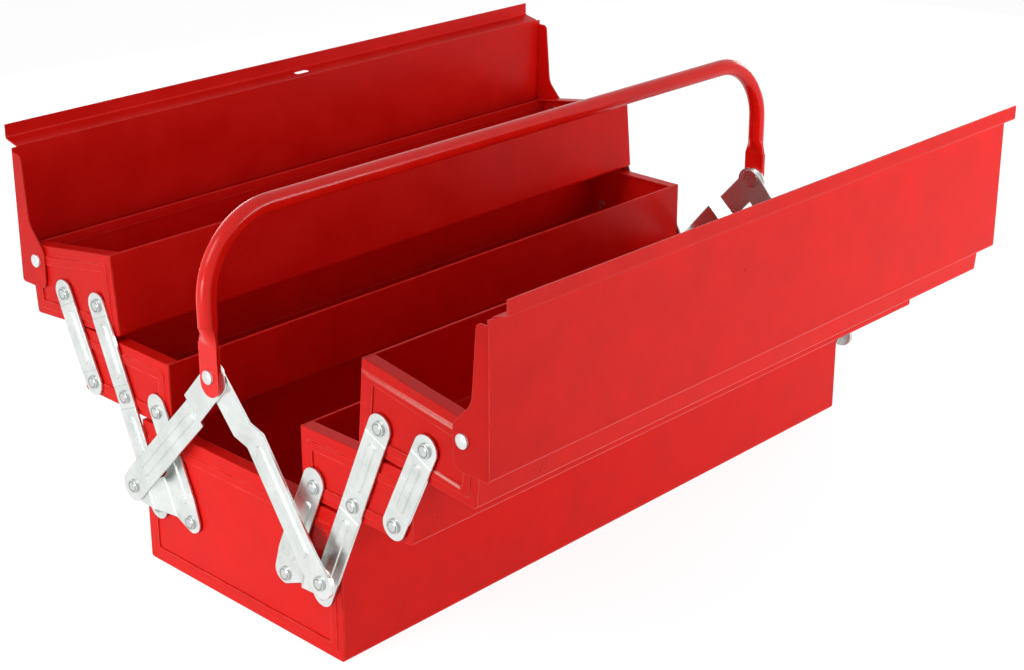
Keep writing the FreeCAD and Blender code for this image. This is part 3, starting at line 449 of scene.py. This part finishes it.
def rivet_tree(name, shares):
    tree = bpy.data.node_groups.new(name, "GeometryNodeTree")
    tree.interface.new_socket("Geometry", in_out="INPUT", socket_type="NodeSocketGeometry")
    inputs = {}
    for word in ("Head radius", "Dome height"):
        socket = tree.interface.new_socket(word, in_out="INPUT", socket_type="NodeSocketFloat")
        inputs[word] = socket.identifier
    tree.interface.new_socket("Geometry", in_out="OUTPUT", socket_type="NodeSocketGeometry")
    source, sink = add(tree, "NodeGroupInput"), add(tree, "NodeGroupOutput")

    # A flat grid is rolled up: its X runs down the profile and its Y goes round.
    grid = add(tree, "GeometryNodeMeshGrid", {}, {
        "Size X": 1.0, "Size Y": 1.0, "Vertices X": len(shares), "Vertices Y": FACES_ROUND + 1})
    flat = add(tree, "ShaderNodeSeparateXYZ", {}, {
        "Vector": add(tree, "GeometryNodeInputPosition")})
    along = add(tree, "ShaderNodeMath", {"operation": "ADD"}, {0: flat.outputs["X"], 1: 0.5})
    turn = add(tree, "ShaderNodeMath", MULTIPLY, {0: flat.outputs["Y"], 1: 2 * math.pi})
    height, width, groove_shade = profile_curves(tree, along, shares)
    wide = add(tree, "ShaderNodeMath", MULTIPLY, {0: width, 1: source.outputs["Head radius"]})
    out = add(tree, "ShaderNodeMath", MULTIPLY, {0: height, 1: source.outputs["Dome height"]})
    rolled = {"X": out}
    for axis, wave in (("Y", "COSINE"), ("Z", "SINE")):
        swing = add(tree, "ShaderNodeMath", {"operation": wave}, {0: turn})
        rolled[axis] = add(tree, "ShaderNodeMath", MULTIPLY, {0: wide, 1: swing})
    spot = add(tree, "ShaderNodeCombineXYZ", {}, rolled)

    # The profile's third column is painted shade for the groove and under the rim; the rivet
    # finish darkens it.
    cut = add(tree, "GeometryNodeStoreNamedAttribute", {
        "data_type": "FLOAT", "domain": "POINT"}, {
        "Geometry": grid, "Name": "groove_shade", "Value": groove_shade})
    shaped = add(tree, "GeometryNodeSetPosition", {}, {"Geometry": cut, "Position": spot})
    joined = add(tree, "GeometryNodeMergeByDistance", {}, {
        "Geometry": shaped, "Distance": SEAM})
    smooth = add(tree, "GeometryNodeSetShadeSmooth", {}, {"Geometry": joined})
    facing = add(tree, "GeometryNodeInputNamedAttribute", {"data_type": "FLOAT"}, {
        "Name": "turned"})
    heads = add(tree, "GeometryNodeInstanceOnPoints", {}, {
        "Points": source.outputs["Geometry"], "Instance": smooth,
        "Rotation": add(tree, "ShaderNodeCombineXYZ", {}, {"Z": facing})})
    solid = add(tree, "GeometryNodeRealizeInstances", {}, {"Geometry": heads})
    finish = add(tree, "GeometryNodeSetMaterial", {}, {
        "Geometry": solid, "Material": rivet_steel})
    tree.links.new(finish.outputs[0], sink.inputs[0])
    print(name, "has", len(tree.nodes), "nodes")
    return tree, inputs


# %% Two kinds of head
# A tree with its inputs, the height of the head over the rivet, and how dull it is.
FLAT = (*rivet_tree("set flat rivet heads", FLAT_HEAD), 0.5 * MM, 1.0)
DOMED = (*rivet_tree("set domed rivet heads", DOMED_HEAD), 1.0 * MM, 0.0)


# %% Set heads on one body
HEAD_RIM = 0.06 * MM     # a head is this much wider than the rivet's end under it


def set_heads(label, body, found, kind):
    tree, inputs, height, dull = kind
    places = bpy.data.meshes.new(label + " places")
    places.from_pydata([spot for spot, side, radius in found], [], [])
    turned = [math.pi if side < 0 else 0.0 for spot, side, radius in found]
    for word, values in (("turned", turned), ("dull", [dull] * len(found))):
        places.attributes.new(word, "FLOAT", "POINT").data.foreach_set("value", values)
    holder = bpy.data.objects.new(label + "_places", places)
    bpy.context.scene.collection.objects.link(holder)
    modifier = holder.modifiers.new("heads", "NODES")
    modifier.node_group = tree
    modifier[inputs["Head radius"]] = max(radius for spot, side, radius in found) + HEAD_RIM
    modifier[inputs["Dome height"]] = height
    bpy.context.view_layer.update()
    ready = holder.evaluated_get(bpy.context.evaluated_depsgraph_get())
    mesh = bpy.data.meshes.new_from_object(ready)
    bpy.data.objects.remove(holder)
    piece = bpy.data.objects.new(label, mesh)
    bpy.context.scene.collection.objects.link(piece)
    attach(piece, body)
    print(label, len(found), "heads,", len(mesh.polygons), "faces")


# %% Heads on every body
LID_BAND = 3 * MM        # an upper tray's highest rivets, within this, carry its lid

for name, found in rivet_nodes.items():
    body = nodes[name]["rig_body"]
    label = name.replace("rivets", "rivet_heads")
    top = max(spot.z for spot, side, radius in found)
    plain = [f for f in found if name.startswith("handle")
             or "upper_tray" in name and f[0].z > top - LID_BAND]
    pressed = [f for f in found if f not in plain]
    if plain:
        set_heads(label + "_domed", body, plain, DOMED)
    if pressed:
        set_heads(label, body, pressed, FLAT)


# %% [markdown]
# ## Floor, world and lamps
#
# The photograph is a studio shot on white. More light on a white floor would burn the
# paint out. Light Path gives the white another way: rays from the camera, and those
# that gloss and glass send on, see a white floor and world, while the light that
# falls on the steel comes from a dimmer pair. So the background and its reflections
# are white and the colours stay as written.

# %% Rays that see white
def background_ray(tree):
    """1 for camera, glossy and transmission rays, which see the white background."""
    rays = add(tree, "ShaderNodeLightPath")
    seen = add(tree, "ShaderNodeMath", {"operation": "MAXIMUM"}, {
        0: rays.outputs["Is Camera Ray"], 1: rays.outputs["Is Glossy Ray"]})
    return add(tree, "ShaderNodeMath", {"operation": "MAXIMUM"}, {
        0: seen, 1: rays.outputs["Is Transmission Ray"]})


# %% Floor
REACH = 8                # the floor's half width, in metres
# Three quarters white and one quarter lit paint leaves the object a pale shadow.
WHITE_SHARE = 0.75

corners = [(-REACH, -REACH, 0), (REACH, -REACH, 0), (REACH, REACH, 0), (-REACH, REACH, 0)]
floor_mesh = bpy.data.meshes.new("floor")
floor_mesh.from_pydata(corners, [], [(0, 1, 2, 3)])
floor = bpy.data.objects.new("floor", floor_mesh)
bpy.context.scene.collection.objects.link(floor)

floor_paint, tree, place = new_material("pale studio floor")
paint = add(tree, "ShaderNodeBsdfPrincipled", {}, {
    "Base Color": colour("#f2f2f2"), "Roughness": 0.8})
glow = add(tree, "ShaderNodeEmission", {}, {"Color": colour("#ffffff"), "Strength": 1.2})
share = add(tree, "ShaderNodeMath", MULTIPLY, {0: background_ray(tree), 1: WHITE_SHARE})
mixed = add(tree, "ShaderNodeMixShader", {}, {0: share, 1: paint, 2: glow})
add(tree, "ShaderNodeOutputMaterial", {}, {"Surface": mixed})
floor.data.materials.append(floor_paint)
print("floor in metres:", 2 * REACH, "by", 2 * REACH)


# %% World
world = bpy.data.worlds.new("studio")
bpy.context.scene.world = world
world.use_nodes = True
tree = world.node_tree
tree.nodes.clear()
dim = add(tree, "ShaderNodeBackground", {}, {"Color": colour("#ffffff"), "Strength": 0.22})
white = add(tree, "ShaderNodeBackground", {}, {"Color": colour("#ffffff"), "Strength": 1.0})
either = add(tree, "ShaderNodeMixShader", {}, {0: background_ray(tree), 1: dim, 2: white})
add(tree, "ShaderNodeOutputWorld", {}, {"Surface": either})
print("world nodes:", len(tree.nodes))


# %% [markdown]
# ## Lamps
#
# Broad softboxes light the enamel in the studio. One large lamp could do for a matt
# object, but gloss and plate show what stands around them, so each lamp has a face
# of the box to serve. The end softbox gives the red end its level, a narrow low beam
# lifts the box's end below the trays, and a weaker softbox lights the long side. The
# last two light the rear end and the left side, which the photograph doesn't show.

# %% Five lamps
def lamp(name, at, towards, watts, size, spread=180):
    data = bpy.data.lights.new(name, "AREA")
    data.energy = watts
    data.size = size
    data.spread = math.radians(spread)
    thing = bpy.data.objects.new(name, data)
    thing.location = at
    thing.rotation_euler = (Vector(towards) - Vector(at)).to_track_quat("-Z", "Y").to_euler()
    thing.visible_camera = False
    bpy.context.scene.collection.objects.link(thing)
    print(name, watts, "W")


lamp("end softbox", (-1.7, 0.1, 1.3), (-0.265, 0, 0.15), 12.7, 0.9)
lamp("low end beam", (-1.1, 0.05, 0.12), (-0.265, 0.03, 0.04), 0.33, 0.35, spread=45)
lamp("side softbox", (0.45, -1.1, 0.40), (0.1, -0.2, 0.2), 7.0, 0.6)
lamp("rear softbox", (1.6, 0.1, 0.35), (0.265, 0, 0.12), 9.0, 0.7)
lamp("left softbox", (0.1, 1.25, 0.40), (0, 0.2, 0.18), 6.0, 0.7)


# %% [markdown]
# ## Camera
#
# The camera stands where the photographer's did. It could be moved by eye until the
# picture fits. These numbers come from a fit to corners and rivets picked in the
# photograph. The small shift moves the frame without tilting the camera.

# %% Camera
YAW, PITCH = 0.7613, -0.350

lens = bpy.data.cameras.new("camera")
lens.sensor_width = 36
lens.lens = 67.45
lens.shift_y = -0.079
camera = bpy.data.objects.new("camera", lens)
camera.location = (-0.94585, -0.8936, 0.6526)
level = math.cos(PITCH)
ahead = Vector((level * math.cos(YAW), level * math.sin(YAW), math.sin(PITCH)))
camera.rotation_euler = ahead.to_track_quat("-Z", "Y").to_euler()
bpy.context.scene.collection.objects.link(camera)
bpy.context.scene.camera = camera
bpy.context.scene.view_settings.view_transform = "Standard"
print("camera from the frame's origin in metres:", round(camera.location.length, 3))
